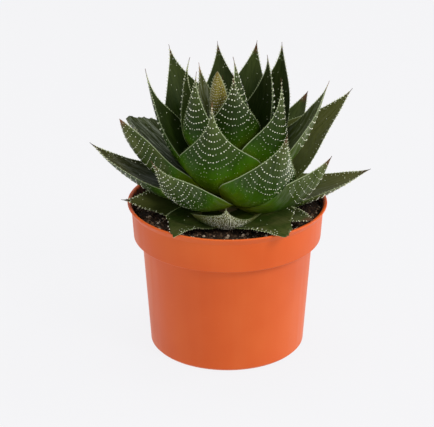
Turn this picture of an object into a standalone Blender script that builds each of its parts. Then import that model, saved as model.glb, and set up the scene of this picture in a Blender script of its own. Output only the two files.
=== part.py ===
# Potted aloe: a rosette of thick spotted leaves on a squat stem, in potting soil, in a moulded
# nursery pot. Metres, +Z up, origin at the middle of the pot's underside.

import math

import bmesh
import bpy
from mathutils import Matrix, Vector, noise
from mathutils.bvhtree import BVHTree

MM = 0.001
GAP = 0.3 * MM                      # between pieces that rest on each other

# Pot
POT_HEIGHT = 92 * MM
LIP_RADIUS = 60 * MM
COLLAR_HEIGHT = 22.5 * MM           # the deep plain band under the lip
COLLAR_TOP_RADIUS = 57.6 * MM       # right under the flared lip
COLLAR_FOOT_RADIUS = 56.4 * MM
LIP_FLARE = 4.0 * MM                # the height over which the lip flares out
BODY_TOP_RADIUS = 51.4 * MM
BASE_RADIUS = 46.7 * MM
WALL = 1.3 * MM
FLOOR = 2.0 * MM
CORNER = 2.0 * MM                   # rounding of the base's edge
POT_SIDES = 36
DRAIN_HOLES = 6
DRAIN_RADIUS = 4.0 * MM
DRAIN_CIRCLE = 30 * MM
DRAIN_SIDES = 12

# Soil
SOIL_TOP = 85 * MM
SOIL_RINGS = 6
SOIL_SIDES = 28
CLOD_HEIGHT = 0.7 * MM              # how far the crumbly surface rises and falls
CLOD_SIZE = 7 * MM

# Stem
STEM_FOOT = SOIL_TOP - 13 * MM
STEM_RADIUS = 10 * MM
STEM_SIDES = 14
STEM_OUTLINE = (                    # radius and height above the soil, up from the buried end, in mm
    (9.0, -13.0),
    (10.0, -12.0),
    (10.0, 1.5),
    (8.6, 12.0),
    (6.8, 25.0),
    (4.8, 35.0),
    (2.6, 38.4),
)

# Leaves
LEAF_RINGS = 11                     # bands from root to tip
ROOT_REACH = 4 * MM                 # the root's distance from the plant's axis
ROOT_WIDTH = 0.36                   # the root's width, as a share of the widest
SHOULDER = 0.42                     # where the leaf is widest, as a share of its length
TAPER_FROM = 0.35
LEAST_HALF_WIDTH = 0.5 * MM
LEAST_DEPTH = 0.7 * MM
KEEL_AT_ROOT = 2.4                  # the back's curve across: higher is flatter with fuller sides
KEEL_AT_TIP = 1.3
KEEL_REACH = 0.8                    # where along the leaf the back reaches its tip form
BACK_FULLNESS = 0.8
SPOT_HEIGHT = 0.6 * MM              # the raised spots in rows on the back
SPOT_STEEPNESS = 0.3                # their most height, as a share of the room round them
SPOT_BANDS = (3, 10)                # bands of the leaf that carry them
TOOTH = 1.0 * MM                    # the teeth along both margins
TOOTH_BANDS = (3, 10)
TOOTH_LEAN = 0.66                   # how far a tooth's point leans to the next one
OVER_SOIL = 1.3 * MM                # the low leaves lie this far over the soil's mean height
OVER_LIP = 0.6 * MM
RIM_ZONE = 47 * MM                  # from here outward a low leaf is kept over the lip
RIM_CLIMB = 14 * MM                 # how far inside that it starts to rise from the soil
LOW_ROOT = 9                        # a leaf rooted under this height, in mm, lies on soil and lip
SKIN = 0.6 * MM                     # least height of a leaf's face over its back where it lies flat
LEAST_LEFT = 0.25                   # the shares of a leaf's volume that one sound cut leaves
MOST_LEFT = 1.001

# The section of a leaf, once round: the side each point is on, and its place across (-1 to 1)
SECTION = (
    ("margin", 1.0),
    ("inner", 0.0),
    ("margin", -1.0),
    ("back", -0.8),
    ("back", -0.4),
    ("back", 0.0),
    ("back", 0.4),
    ("back", 0.8),
)

# One row a leaf, from the heart outward: name, direction in degrees (0 right, -90 to the front),
# the tip's x, y and height over the soil, the root's height on the stem, how far the middle sags,
# the width (all in mm), how finely it tapers, how far its margins are cupped, its roll in degrees,
# and the depth of its keeled back as a share of the half-width
LEAVES = (
    ("leaf_heart", -120, -6, -2, 89, 38, 1, 17, 0.7, 0.05, 0, 0.80),
    ("leaf_inner_1", 90, -3, 8, 83, 36, 2, 20, 1.8, 0.30, 0, 0.34),
    ("leaf_inner_2", -30, 3, -2, 98, 33, 5, 28, 1.8, 0.30, 0, 0.34),
    ("leaf_inner_3", -128, -18, -17, 94, 30, 11, 31, 1.9, 0.15, 5, 0.34),
    ("leaf_inner_4", 125, -17, 20, 87, 30, 4, 24, 1.7, 0.30, 0, 0.34),
    ("leaf_inner_5", -73, 3, -14, 92, 29, 6, 38, 2.0, 0.30, 0, 0.34),
    ("leaf_inner_6", 28, 23, 1, 98, 27, 10, 33, 1.5, 0.35, 5, 0.34),
    ("leaf_inner_7", 153, -22, 6, 95, 26, 12, 26, 2.1, 0.25, -11, 0.34),
    ("leaf_upper_1", 80, -6, 30, 97, 25, 4, 38, 1.6, 0.30, 2, 0.34),
    ("leaf_upper_2", 43, 32, 16, 101, 18, 13, 39, 1.5, 0.30, 10, 0.34),
    ("leaf_upper_3", 124, -35, 30, 95, 22, 8, 48, 1.8, 0.15, -11, 0.34),
    ("leaf_upper_4", -45, 31, -5, 86, 20, 14, 39, 2.2, 0.20, -4, 0.34),
    ("leaf_upper_5", 167, -48, 0, 90, 16, 9, 36, 2.0, 0.25, -2, 0.34),
    ("leaf_upper_6", 68, 18, 41, 94, 21, 4, 41, 1.5, 0.25, 5, 0.34),
    ("leaf_upper_7", -106, -9, -33, 81, 14, 10, 50, 2.3, 0.30, 4, 0.36),
    ("leaf_middle_1", -5, 59, -7, 85, 16, 9, 39, 1.6, 0.25, 8, 0.34),
    ("leaf_middle_2", 112, -24, 58, 62, 15, 6, 38, 1.8, 0.30, 0, 0.34),
    ("leaf_middle_3", -134, -64, 5, 57, 12, 9, 37, 0.9, 0.10, 0, 0.34),
    ("leaf_middle_4", -56, 34, -39, 64, 11, 12, 52, 1.7, 0.20, -9, 0.36),
    ("leaf_middle_5", 37, 50, 57, 56, 14, 8, 38, 1.1, 0.30, 5, 0.34),
    ("leaf_middle_6", 78, 12, 62, 58, 13, 7, 38, 1.8, 0.30, 0, 0.34),
    ("leaf_middle_7", 48, 74, 11, 74, 9, 7, 52, 1.6, 0.15, -9, 0.34),
    ("leaf_middle_8", 160, -59, 22, 54, 11, 3, 46, 0.6, 0.25, 0, 0.34),
    ("leaf_lower_1", -46, 61, -17, 42, 10, 13, 47, 1.3, 0.30, 0, 0.34),
    ("leaf_lower_2", -95, -44, -42, 49, 12, 13, 38, 1.6, 0.20, -8, 0.28),
    ("leaf_lower_3", 173, -82, 5, 42, 9, 8, 39, 1.3, 0.25, 1, 0.34),
    ("leaf_lower_4", 118, -36, 66, 34, 9, 6, 36, 1.6, 0.30, 0, 0.34),
    ("leaf_lower_5", -92, -1, -51, 23, 2, 9, 42, 1.8, 0.30, 0, 0.22),
    ("leaf_lower_6", 58, 44, 70, 34, 8, 6, 36, 1.6, 0.30, 0, 0.34),
    ("leaf_lower_7", 16, 86, 5, 25, 6, 5, 44, 1.3, 0.20, 0, 0.34),
    ("leaf_ground_1", -128, -37, -50, 7, 3, 0, 31, 0.5, 0.06, -10, 0.20),
    ("leaf_ground_2", -50, 39, -52, 11, 3, 0, 39, 0.5, 0.06, 12, 0.20),
    ("leaf_ground_3", 88, 3, 84, 20, 5, 5, 36, 1.6, 0.30, 0, 0.34),
    ("leaf_ground_4", 150, -56, 32, 17, 5, 4, 32, 1.6, 0.30, 0, 0.34),
    ("leaf_ground_5", 176, -63, -14, 13, 3, 2, 40, 1.5, 0.25, -16, 0.34),
    ("leaf_ground_6", 38, 50, 42, 13, 4, 3, 26, 1.6, 0.20, 0, 0.34),
    ("leaf_ground_7", -33, 50, -36, 9, 3, 0, 28, 0.9, 0.10, 6, 0.24),
)


def clear_scene():
    for obj in list(bpy.data.objects):
        bpy.data.objects.remove(obj, do_unlink=True)


def new_collection(name):
    collection = bpy.data.collections.new(name)
    bpy.context.scene.collection.children.link(collection)
    return collection


def new_material(name, colour, roughness):
    material = bpy.data.materials.new(name)
    material.use_nodes = True
    shader = material.node_tree.nodes["Principled BSDF"]
    shader.inputs["Base Color"].default_value = (*colour, 1)
    shader.inputs["Roughness"].default_value = roughness
    shader.inputs["Metallic"].default_value = 0
    return material


def new_object(name, mesh, collection, material=None):
    obj = bpy.data.objects.new(name, mesh)
    collection.objects.link(obj)
    if material:
        mesh.materials.append(material)
    return obj


def as_cutter(obj):
    obj.hide_render = True
    obj.display_type = "WIRE"
    return obj


def turned(name, outline, sides, collection, material=None):
    """A profile of (radius, height) points turned once about Z."""
    mesh = bpy.data.meshes.new(name)
    bm = bmesh.new()
    verts = [bm.verts.new((radius, 0, height)) for radius, height in outline]
    for first, second in zip(verts, verts[1:]):
        bm.edges.new((first, second))
    bm.to_mesh(mesh)
    bm.free()
    obj = new_object(name, mesh, collection, material)
    screw = obj.modifiers.new("turn", "SCREW")
    screw.axis = "Z"
    screw.steps = sides
    screw.render_steps = sides
    screw.use_merge_vertices = True
    screw.merge_threshold = 0.00001
    screw.use_smooth_shade = False
    return obj


def applied(obj):
    """Replaces an object's mesh by what its modifiers make of it."""
    graph = bpy.context.evaluated_depsgraph_get()
    mesh = bpy.data.meshes.new_from_object(obj.evaluated_get(graph))
    old = obj.data
    obj.modifiers.clear()
    obj.data = mesh
    bpy.data.meshes.remove(old)
    return obj


def smooth(obj, degrees):
    obj.data.shade_smooth()
    obj.data.set_sharp_from_angle(angle=math.radians(degrees))


# Pot

def body_radius(height):
    """The outer radius of the tapered body under the collar."""
    share = height / (POT_HEIGHT - COLLAR_HEIGHT)
    return BASE_RADIUS + (BODY_TOP_RADIUS - BASE_RADIUS) * share


def collar_radius(height):
    """The outer radius of the collar under the lip."""
    share = (height - (POT_HEIGHT - COLLAR_HEIGHT)) / (COLLAR_HEIGHT - LIP_FLARE)
    return COLLAR_FOOT_RADIUS + (COLLAR_TOP_RADIUS - COLLAR_FOOT_RADIUS) * share


def make_pot(parts, cutters, material):
    step = POT_HEIGHT - COLLAR_HEIGHT
    outline = [
        (LIP_RADIUS - WALL, POT_HEIGHT),
        (LIP_RADIUS, POT_HEIGHT - 0.5 * MM),
        (COLLAR_TOP_RADIUS, POT_HEIGHT - LIP_FLARE),
        (COLLAR_FOOT_RADIUS, step + 0.8 * MM),
        (COLLAR_FOOT_RADIUS - 0.8 * MM, step),
        (BODY_TOP_RADIUS, step),
        (body_radius(CORNER), CORNER),
        (BASE_RADIUS - 0.6 * CORNER, 0.3 * CORNER),
        (BASE_RADIUS - 1.2 * CORNER, 0),
        (0, 0),
        (0, FLOOR),
        (body_radius(FLOOR) - WALL, FLOOR),
        (BODY_TOP_RADIUS - WALL, step + WALL),
        (COLLAR_FOOT_RADIUS - WALL, step + WALL),
        (COLLAR_TOP_RADIUS - WALL, POT_HEIGHT - LIP_FLARE),
        (LIP_RADIUS - 1.6 * WALL, POT_HEIGHT - 0.4 * MM),
        (LIP_RADIUS - WALL, POT_HEIGHT),
    ]
    pot = turned("pot", outline, POT_SIDES, parts, material)

    mesh = bpy.data.meshes.new("drain_cutter")
    bm = bmesh.new()
    for number in range(DRAIN_HOLES):
        angle = math.tau * (number + 0.5) / DRAIN_HOLES
        centre = Vector((math.cos(angle), math.sin(angle), 0)) * DRAIN_CIRCLE
        bmesh.ops.create_cone(
            bm,
            cap_ends=True,
            segments=DRAIN_SIDES,
            radius1=DRAIN_RADIUS,
            radius2=DRAIN_RADIUS,
            depth=4 * FLOOR,
            matrix=Matrix.Translation(centre),
        )
    bm.to_mesh(mesh)
    bm.free()
    holes = as_cutter(new_object("drain_cutter", mesh, cutters))
    drain = pot.modifiers.new("drain holes", "BOOLEAN")
    drain.operation = "DIFFERENCE"
    drain.object = holes
    applied(pot)
    smooth(pot, 30)
    return pot


# Soil

def clod(x, y):
    """The soil's rise or fall at a place, level at the wall and round the stem."""
    reach = math.hypot(x, y)
    fade = min(1, max(0, (reach - STEM_RADIUS) / (6 * MM)), max(0, (56 * MM - reach) / (4 * MM)))
    return CLOD_HEIGHT * fade * noise.noise(Vector((x, y, 0.013)) / CLOD_SIZE)


def make_soil(parts, material):
    step = POT_HEIGHT - COLLAR_HEIGHT
    wall_top = collar_radius(SOIL_TOP) - 1.3 * WALL - GAP
    hole = STEM_RADIUS + GAP
    top = []
    for ring in range(SOIL_RINGS + 1):
        top.append((hole + (wall_top - hole) * ring / SOIL_RINGS, SOIL_TOP))
    outline = [(0, STEM_FOOT - GAP), (hole, STEM_FOOT - GAP)] + top + [
        (COLLAR_FOOT_RADIUS - 1.3 * WALL - GAP, step + WALL + GAP),
        (BODY_TOP_RADIUS - WALL - GAP, step + WALL + GAP),
        (body_radius(FLOOR) - WALL - 1.5 * GAP, FLOOR + GAP),
        (0, FLOOR + GAP),
    ]
    soil = applied(turned("soil", outline, SOIL_SIDES, parts, material))
    for vert in soil.data.vertices:
        if vert.co.z > SOIL_TOP - 0.01 * MM:
            vert.co.z += clod(vert.co.x, vert.co.y)
    smooth(soil, 40)
    return soil


# Stem

def make_stem(name, collection, grow, material=None):
    outline = [(0, STEM_FOOT - grow)]
    for radius, height in STEM_OUTLINE:
        lift = grow if height > 0 else -grow
        outline.append((radius * MM + grow, SOIL_TOP + height * MM + lift))
    outline.append((0, SOIL_TOP + STEM_OUTLINE[-1][1] * MM + 0.6 * MM + grow))
    outline.reverse()
    stem = applied(turned(name, outline, STEM_SIDES, collection, material))
    smooth(stem, 50)
    return stem


# Leaves

class Leaf:
    """A leaf's middle line, from its root in the stem to its tip, and its section along it."""

    def __init__(self, row):
        self.name, direction, tip_x, tip_y, tip_z, root_z, sag, width = row[:8]
        self.taper, self.cup, roll, self.depth = row[8:]
        angle = math.radians(direction)
        self.across = Vector((-math.sin(angle), math.cos(angle), 0))
        reach = Vector((math.cos(angle), math.sin(angle), 0)) * ROOT_REACH
        self.root = reach + Vector((0, 0, SOIL_TOP + root_z * MM))
        self.tip = Vector((tip_x, tip_y, tip_z)) * MM + Vector((0, 0, SOIL_TOP))
        chord = self.tip - self.root
        up = chord.cross(self.across).normalized()
        self.bend = self.root + chord * 0.5 - up * (2 * sag * MM)
        self.half = width * MM / 2
        self.roll = math.radians(roll)
        self.low = root_z < LOW_ROOT

    def frame(self, along):
        """The middle line's point, and the directions across the leaf and to its inner face."""
        rest = 1 - along
        point = self.root * rest**2 + self.bend * (2 * along * rest) + self.tip * along**2
        ahead = ((self.bend - self.root) * rest + (self.tip - self.bend) * along).normalized()
        side = (self.across - ahead * ahead.dot(self.across)).normalized()
        side = Matrix.Rotation(self.roll, 3, ahead) @ side
        return point, side, ahead.cross(side)

    def half_width(self, along):
        root = ROOT_WIDTH + (1 - ROOT_WIDTH) * math.sin(math.pi / 2 * min(along / SHOULDER, 1))
        run = max(0, (along - TAPER_FROM) / (1 - TAPER_FROM))
        return max(self.half * root * (1 - run**1.5) ** self.taper, LEAST_HALF_WIDTH)

    def place(self, along, side_name, across, grow=0.0):
        """A point of the skin. grow sets it out by that much more than the leaf's own spots and teeth."""
        point, side, inward = self.frame(along)
        half = self.half_width(along)
        lift = self.cup * half * across**2
        drop = 0.0
        if side_name == "back":
            keel = KEEL_AT_ROOT + (KEEL_AT_TIP - KEEL_AT_ROOT) * min(along / KEEL_REACH, 1)
            depth = max(self.depth * half * (1 - 0.1 * along), LEAST_DEPTH)
            drop = depth * (1 - abs(across) ** keel) ** BACK_FULLNESS
        if grow:
            wider = (TOOTH + 2 * grow) * abs(across)
            half += wider
            lift += {"inner": grow, "margin": 2 * self.cup * wider, "back": 0}[side_name]
            drop += SPOT_HEIGHT + grow if side_name == "back" else 0
        result = point + side * (half * across) + inward * (lift - drop)
        if self.low:
            more = 0.0 if side_name == "back" else SKIN
            if grow:
                more += -SPOT_HEIGHT - grow if side_name == "back" else grow
            self.keep_clear(result, more)
        return result

    def keep_clear(self, place, more):
        """A low leaf lies on the soil and over the lip."""
        reach = math.hypot(place.x, place.y)
        if reach > RIM_ZONE:
            place.z = max(place.z, POT_HEIGHT + OVER_LIP + more)
        else:
            share = max(0, (reach - RIM_ZONE + RIM_CLIMB) / RIM_CLIMB)
            floor = SOIL_TOP + OVER_SOIL
            place.z = max(place.z, floor + (POT_HEIGHT + OVER_LIP - floor) * share + more)

    def mesh(self, grow=0.0):
        """A sphere whose poles become root and tip, and whose rings become the sections."""
        bm = bmesh.new()
        count = len(SECTION)
        bmesh.ops.create_uvsphere(bm, u_segments=count, v_segments=LEAF_RINGS, radius=1)
        bm.verts.index_update()
        slots = {}
        for vert in bm.verts:
            ring = round((1 - math.acos(max(-1, min(1, vert.co.z))) / math.pi) * LEAF_RINGS)
            slot = round(math.atan2(vert.co.y, vert.co.x) / math.tau * count) % count
            if ring in (0, LEAF_RINGS):
                slot = -1
            slots[vert.index] = (ring, slot)
        for vert in bm.verts:
            ring, slot = slots[vert.index]
            along = ring / LEAF_RINGS
            if slot < 0:
                vert.co = self.frame(along)[0]
                if grow:
                    ends = (self.root, self.bend, self.tip)
                    outward = ends[2] - ends[1] if ring else ends[0] - ends[1]
                    vert.co += outward.normalized() * 2 * grow
            else:
                vert.co = self.place(along, *SECTION[slot], grow)
        if not grow:
            self.add_teeth(bm, slots)
            self.add_spots(bm, slots)
        bmesh.ops.triangulate(bm, faces=bm.faces[:])
        bmesh.ops.recalc_face_normals(bm, faces=bm.faces[:])
        mesh = bpy.data.meshes.new(self.name)
        bm.to_mesh(mesh)
        bm.free()
        return mesh

    def add_teeth(self, bm, slots):
        """Splits each margin edge and draws the new point out into a tooth that leans to the tip."""
        edges = []
        for edge in bm.edges:
            (ring_a, slot_a), (ring_b, slot_b) = (slots[vert.index] for vert in edge.verts)
            if slot_a != slot_b or slot_a < 0 or SECTION[slot_a][0] != "margin":
                continue
            if TOOTH_BANDS[0] <= min(ring_a, ring_b) < TOOTH_BANDS[1]:
                edges.append(edge)
        for edge in edges:
            lower, upper = sorted(edge.verts, key=lambda vert: slots[vert.index])
            ring, slot = slots[lower.index]
            along = (ring + TOOTH_LEAN) / LEAF_RINGS
            reach = TOOTH * min(1, self.half_width(along) / (4 * MM)) * SECTION[slot][1]
            foot = lower.co.lerp(upper.co, TOOTH_LEAN)
            _, tooth = bmesh.utils.edge_split(edge, lower, TOOTH_LEAN)
            tooth.co = foot + self.frame(along)[1] * reach

    def add_spots(self, bm, slots):
        """Pokes the faces of the back and raises their middles into the spots."""
        faces = []
        for face in bm.faces:
            known = [slots[vert.index] for vert in face.verts if vert.index in slots]
            rings = [ring for ring, _ in known]
            names = [SECTION[slot][0] for _, slot in known if slot >= 0]
            if "inner" in names or "back" not in names:
                continue
            if SPOT_BANDS[0] <= min(rings) and max(rings) <= SPOT_BANDS[1]:
                faces.append(face)
        poked = bmesh.ops.poke(bm, faces=faces, center_mode="MEAN")
        bm.normal_update()
        for vert in poked["verts"]:
            reach = min(edge.calc_length() for edge in vert.link_edges)
            vert.co += vert.normal * min(SPOT_HEIGHT, SPOT_STEEPNESS * reach)


def tree_of(mesh):
    bm = bmesh.new()
    bm.from_mesh(mesh)
    tree = BVHTree.FromBMesh(bm)
    bm.free()
    return tree


def keep_largest(mesh):
    """Drops loose scraps, so that a leaf stays one body."""
    bm = bmesh.new()
    bm.from_mesh(mesh)
    bmesh.ops.triangulate(bm, faces=bm.faces[:])
    left = set(bm.faces)
    bodies = []
    while left:
        body = []
        queue = [left.pop()]
        while queue:
            face = queue.pop()
            body.append(face)
            for edge in face.edges:
                for other in edge.link_faces:
                    if other in left:
                        left.remove(other)
                        queue.append(other)
        bodies.append(body)
    bodies.sort(key=len, reverse=True)
    for body in bodies[1:]:
        bmesh.ops.delete(bm, geom=body, context="FACES")
    loose = [vert for vert in bm.verts if not vert.link_faces]
    bmesh.ops.delete(bm, geom=loose, context="VERTS")
    bm.to_mesh(mesh)
    bm.free()


def volume_if_closed(mesh):
    """The volume of a mesh, or 0 where it has an open edge."""
    bm = bmesh.new()
    bm.from_mesh(mesh)
    closed = bool(bm.faces) and all(edge.is_manifold for edge in bm.edges)
    volume = bm.calc_volume(signed=True) if closed else 0.0
    bm.free()
    return volume


def clear_of(obj, other):
    """Cuts a neighbour's grown shape away. The second solver is for where the first leaves an open mesh."""
    before = volume_if_closed(obj.data)
    clear = obj.modifiers.new("clear of " + other.name, "BOOLEAN")
    clear.operation = "DIFFERENCE"
    clear.object = other
    for solver in ("EXACT", "MANIFOLD"):
        clear.solver = solver
        graph = bpy.context.evaluated_depsgraph_get()
        mesh = bpy.data.meshes.new_from_object(obj.evaluated_get(graph))
        if LEAST_LEFT * before < volume_if_closed(mesh) <= MOST_LEFT * before:
            break
    old = obj.data
    obj.modifiers.clear()
    obj.data = mesh
    bpy.data.meshes.remove(old)


def make_leaves(parts, cutters, materials, stem_cutter):
    """Each leaf is cleared of the stem and of the leaves further in, as leaves press on one another."""
    blockers = [(stem_cutter, tree_of(stem_cutter.data))]
    for row in LEAVES:
        leaf = Leaf(row)
        material = materials["heart"] if leaf.name == "leaf_heart" else materials["leaf"]
        obj = new_object(leaf.name, leaf.mesh(), parts, material)
        tree = tree_of(obj.data)
        for other, other_tree in blockers:
            if tree.overlap(other_tree):
                clear_of(obj, other)
        keep_largest(obj.data)
        smooth(obj, 24)
        cutter = as_cutter(new_object(leaf.name + "_cutter", leaf.mesh(GAP), cutters))
        blockers.append((cutter, tree_of(cutter.data)))


def main():
    clear_scene()
    parts = new_collection("potted_aloe")
    cutters = new_collection("cutters")
    plastic = new_material("orange plastic", (0.62, 0.13, 0.04), 0.45)
    earth = new_material("potting soil", (0.03, 0.018, 0.012), 0.95)
    wood = new_material("stem", (0.16, 0.2, 0.05), 0.7)
    skins = {
        "leaf": new_material("leaf", (0.03, 0.075, 0.018), 0.42),
        "heart": new_material("young leaf", (0.3, 0.28, 0.1), 0.5),
    }
    make_pot(parts, cutters, plastic)
    make_soil(parts, earth)
    make_stem("stem", parts, 0.0, wood)
    stem_cutter = as_cutter(make_stem("stem_cutter", cutters, GAP))
    make_leaves(parts, cutters, skins, stem_cutter)
    holder = bpy.data.objects.new("potted_aloe", None)
    parts.objects.link(holder)
    for obj in parts.objects:
        if obj is not holder:
            obj.parent = holder


main()
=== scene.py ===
import math
import random
from types import SimpleNamespace

import bmesh
import bpy
import numpy as np
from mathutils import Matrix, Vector
from mathutils.bvhtree import BVHTree
from mathutils.kdtree import KDTree


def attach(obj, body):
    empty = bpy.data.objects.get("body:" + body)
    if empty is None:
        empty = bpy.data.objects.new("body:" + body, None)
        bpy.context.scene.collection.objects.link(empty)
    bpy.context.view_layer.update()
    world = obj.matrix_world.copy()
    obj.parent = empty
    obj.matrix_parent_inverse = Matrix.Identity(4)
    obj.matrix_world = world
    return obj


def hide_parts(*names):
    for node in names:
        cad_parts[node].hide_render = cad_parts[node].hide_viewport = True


# Potted aloe: the looks of a rosette of thick spotted leaves in a moulded nursery pot.
# Metres, +Z up, the photograph's side at -Y.

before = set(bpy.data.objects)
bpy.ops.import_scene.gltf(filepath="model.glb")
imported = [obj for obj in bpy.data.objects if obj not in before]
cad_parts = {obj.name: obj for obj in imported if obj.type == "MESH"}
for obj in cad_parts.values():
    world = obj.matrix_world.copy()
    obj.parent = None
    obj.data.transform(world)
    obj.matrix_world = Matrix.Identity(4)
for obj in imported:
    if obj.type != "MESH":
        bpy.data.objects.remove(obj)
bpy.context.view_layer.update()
mm = 0.001


# Small helpers

def linkObject(name, data=None):
    obj = bpy.data.objects.new(name, data or bpy.data.meshes.new(name))
    bpy.context.scene.collection.objects.link(obj)
    return obj


def dropObject(obj):
    mesh = obj.data
    bpy.data.objects.remove(obj, do_unlink=True)
    bpy.data.meshes.remove(mesh)


def swapMesh(obj, mesh):
    old = obj.data
    obj.data = mesh
    mesh.name = obj.name
    if old.users == 0:
        bpy.data.meshes.remove(old)


def evaluatedMesh(obj):
    graph = bpy.context.evaluated_depsgraph_get()
    return bpy.data.meshes.new_from_object(
        obj.evaluated_get(graph), preserve_all_data_layers=True, depsgraph=graph
    )


def linear(red, green, blue):
    # a colour given as 0-255 values, made linear for the shaders
    out = []
    for value in (red, green, blue):
        share = value / 255
        out.append(share / 12.92 if share <= 0.04045 else ((share + 0.055) / 1.055) ** 2.4)
    return (*out, 1.0)


# Geometry and shader trees are put together alike. A Wire is a socket that takes sums, each of which
# adds a math node to the socket's tree

class Wire:
    def __init__(self, socket):
        self.socket = socket
        self.tree = socket.id_data

    def __add__(self, other):
        return calc("ADD", self, other)

    def __sub__(self, other):
        return calc("SUBTRACT", self, other)

    def __rsub__(self, other):
        return calc("SUBTRACT", other, self)

    def __mul__(self, other):
        return calc("MULTIPLY", self, other)


def wireUp(node, wires):
    # wires: a value or a Wire for each input, by name or by place
    for key, value in wires.items():
        if isinstance(value, Wire):
            value.tree.links.new(value.socket, node.inputs[key])
        else:
            node.inputs[key].default_value = value
    return node


def addNode(tree, kind, wires=None, **settings):
    node = tree.nodes.new(kind)
    for key, value in settings.items():
        setattr(node, key, value)
    return wireUp(node, wires or {})


def put(tree, kind, wires=None, out=0, **settings):
    # a node of which one output is used
    return Wire(addNode(tree, kind, wires, **settings).outputs[out])


def calc(operation, *values, clamp=False):
    tree = next(value.tree for value in values if isinstance(value, Wire))
    return put(tree, "ShaderNodeMath", dict(enumerate(values)), operation=operation, use_clamp=clamp)


def grade(factor, low, high, lowOut=0.0, highOut=1.0):
    wires = {0: factor, 1: low, 2: high, 3: lowOut, 4: highOut}
    return put(factor.tree, "ShaderNodeMapRange", wires, clamp=True, interpolation_type="SMOOTHSTEP")


def noiseOf(vector, scale, detail=3.0, rough=0.5):
    wires = {"Vector": vector, "Scale": scale, "Detail": detail, "Roughness": rough}
    return put(vector.tree, "ShaderNodeTexNoise", wires)


def partsOf(vector):
    return [Wire(part) for part in addNode(vector.tree, "ShaderNodeSeparateXYZ", {0: vector}).outputs]


# Geometry trees

def labelOf(key):
    # lipRadius becomes Lip radius
    return "".join(" " + letter.lower() if letter.isupper() else letter for letter in key).capitalize()


def newShapeTree(name, inputs):
    # a number becomes an input with that usual value, a text is the kind of an input that gets a
    # data block later, and tuples, such as colours, are passed over
    tree = bpy.data.node_groups.new(name, "GeometryNodeTree")
    for way in ("INPUT", "OUTPUT"):
        tree.interface.new_socket("Geometry", in_out=way, socket_type="NodeSocketGeometry")
    named = {key: value for key, value in inputs.items() if not isinstance(value, tuple)}
    for key, value in named.items():
        kind = value if isinstance(value, str) else type(value).__name__.capitalize()
        kind = "NodeSocket" + kind
        socket = tree.interface.new_socket(labelOf(key), in_out="INPUT", socket_type=kind)
        if not isinstance(value, str):
            socket.default_value = value
    sockets = tree.nodes.new("NodeGroupInput").outputs
    given = {key: Wire(sockets[labelOf(key)]) for key in ("geometry", *named)}
    return tree, SimpleNamespace(**given), tree.nodes.new("NodeGroupOutput")


def runShapeTree(obj, tree, values):
    # sets the inputs by identifier, and keeps what the tree makes as a plain mesh
    modifier = obj.modifiers.new(tree.name, "NODES")
    modifier.node_group = tree
    values = {labelOf(key): value for key, value in values.items()}
    for item in tree.interface.items_tree:
        if item.item_type == "SOCKET" and item.in_out == "INPUT" and item.name in values:
            modifier[item.identifier] = values[item.name]
    mesh = evaluatedMesh(obj)
    obj.modifiers.remove(modifier)
    swapMesh(obj, mesh)
    return obj


def dressed(shape, material, smooth=True):
    whole = put(shape.tree, "GeometryNodeRealizeInstances", {0: shape})
    if smooth:
        whole = put(shape.tree, "GeometryNodeSetShadeSmooth", {0: whole})
    return put(shape.tree, "GeometryNodeSetMaterial", {0: whole, "Material": material})


def joined(*shapes):
    node = shapes[0].tree.nodes.new("GeometryNodeJoinGeometry")
    for shape in shapes:
        wireUp(node, {0: shape})
    return Wire(node.outputs[0])


def flatOf(place):
    wires = {0: place, 1: (1.0, 1.0, 0.0)}
    return put(place.tree, "ShaderNodeVectorMath", wires, operation="MULTIPLY")


def randomOf(tree, kind, wires):
    out = {"FLOAT_VECTOR": 0, "FLOAT": 1, "BOOLEAN": 3}[kind]
    return put(tree, "FunctionNodeRandomValue", wires, out, data_type=kind)


def storedOf(tree, name, kind):
    return put(tree, "GeometryNodeInputNamedAttribute", {"Name": name}, data_type=kind)


def turnedIn(tree, outline, sides, rounding=0.0, roundingSteps=0):
    # revolves an outline of (radius, height) pairs
    line = put(tree, "GeometryNodeMeshLine", {"Count": len(outline)})
    picker = tree.nodes.new("GeometryNodeIndexSwitch")
    picker.data_type = "VECTOR"
    while len(picker.index_switch_items) < len(outline):
        picker.index_switch_items.new()
    wireUp(picker, {0: put(tree, "GeometryNodeInputIndex")})
    for place, (radius, height) in enumerate(outline, 1):
        wireUp(picker, {place: put(tree, "ShaderNodeCombineXYZ", {0: radius, 1: height * -1.0})})
    placed = put(tree, "GeometryNodeSetPosition", {0: line, "Position": Wire(picker.outputs[0])})
    curve = put(tree, "GeometryNodeMeshToCurve", {0: placed})
    if roundingSteps:
        wires = {"Curve": curve, "Count": roundingSteps, "Radius": rounding, "Limit Radius": True}
        curve = put(tree, "GeometryNodeFilletCurve", wires, mode="POLY")
    # a circle this small leaves each point at its own radius, and the outline's y axis turns to -Z
    ring = put(tree, "GeometryNodeCurvePrimitiveCircle", {"Resolution": sides, "Radius": 0.01 * mm})
    turned = put(tree, "GeometryNodeCurveToMesh", {"Curve": ring, "Profile Curve": curve})
    merged = put(tree, "GeometryNodeMergeByDistance", {0: turned, "Distance": 0.03 * mm})
    return put(tree, "GeometryNodeFlipFaces", {0: merged})


# Materials: colours are given as 0-255 values or as a Wire

def newMaterial(name):
    material = bpy.data.materials.new(name)
    material.use_nodes = True
    return material, material.node_tree


def finished(material, wires):
    wireUp(material.node_tree.nodes["Principled BSDF"], wires)
    return material


def objectPlace(tree):
    return put(tree, "ShaderNodeTexCoord", out="Object")


def attributeOf(tree, name, out="Fac"):
    return put(tree, "ShaderNodeAttribute", out=out, attribute_name=name)


def stretched(vector, scale):
    return put(vector.tree, "ShaderNodeMapping", {"Vector": vector, "Scale": scale})


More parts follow.
